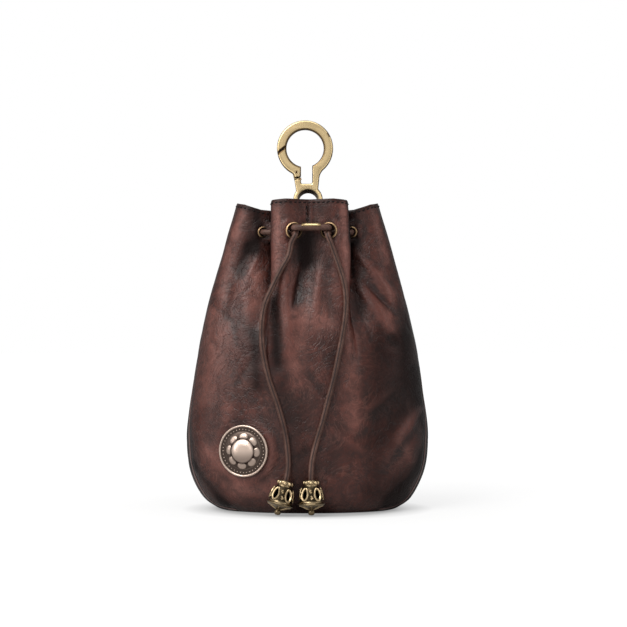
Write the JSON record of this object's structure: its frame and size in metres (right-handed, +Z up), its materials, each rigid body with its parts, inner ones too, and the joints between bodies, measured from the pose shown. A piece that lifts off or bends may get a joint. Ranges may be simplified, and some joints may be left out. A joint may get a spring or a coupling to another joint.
{
  "type": "leather drawstring pouch",
  "caption": "Small leather pouch with a mouth gathered by a lace through brass eyelets, bell beads on the lace ends, a round concho and a round snap hook to hang it by.",
  "frame": {"origin": "middle of the pouch's base, on the surface it stands on", "axes": "+Z up towards the mouth and the hook, -Y towards the front with the concho and the lace ends, +X to the right seen from the front"},
  "size_m": [0.1086, 0.0639, 0.1757],
  "materials": {
    "pouch_leather": "dark reddish brown, rubbed semi-gloss",
    "lace_leather": "dark grey-brown round lace, satin",
    "hook_brass": "brushed antique brass",
    "eyelet_brass": "polished brass",
    "bead_brass": "cast antique brass with blackened recesses",
    "concho_metal": "cast antique nickel with a warm tone and darkened recesses"
  },
  "bodies": {
    "pouch": {"front_panel": "pouch_leather", "back_panel": "pouch_leather", "hanger_loop": "pouch_leather", "eyelet_front_left": "eyelet_brass", "eyelet_front_right": "eyelet_brass", "eyelet_flap_left": "eyelet_brass", "eyelet_flap_right": "eyelet_brass", "eyelet_wing_front_left": "eyelet_brass", "eyelet_wing_front_right": "eyelet_brass", "eyelet_wing_back_left": "eyelet_brass", "eyelet_wing_back_right": "eyelet_brass", "eyelet_back_left": "eyelet_brass", "eyelet_back_right": "eyelet_brass", "drawstring": "lace_leather", "cord_bridge": "lace_leather", "cord_end_left": "lace_leather", "cord_end_right": "lace_leather", "bridge_sleeve": "eyelet_brass", "bead_left": "bead_brass", "bead_right": "bead_brass", "concho": "concho_metal", "hook_frame": "hook_brass", "gate_pin": "bead_brass"},
    "gate": {"hook_gate": "hook_brass"}
  },
  "joints": [
    {"name": "gate_pivot", "type": "hinge", "parent": "pouch", "child": "gate", "pos_m": [-0.0051, 0.0125, 0.1521], "axis": [0, 1, 0], "range_deg": [0, 28], "stiffness_Nm_per_rad": 0.01, "springref_deg": -20.05}
  ]
}
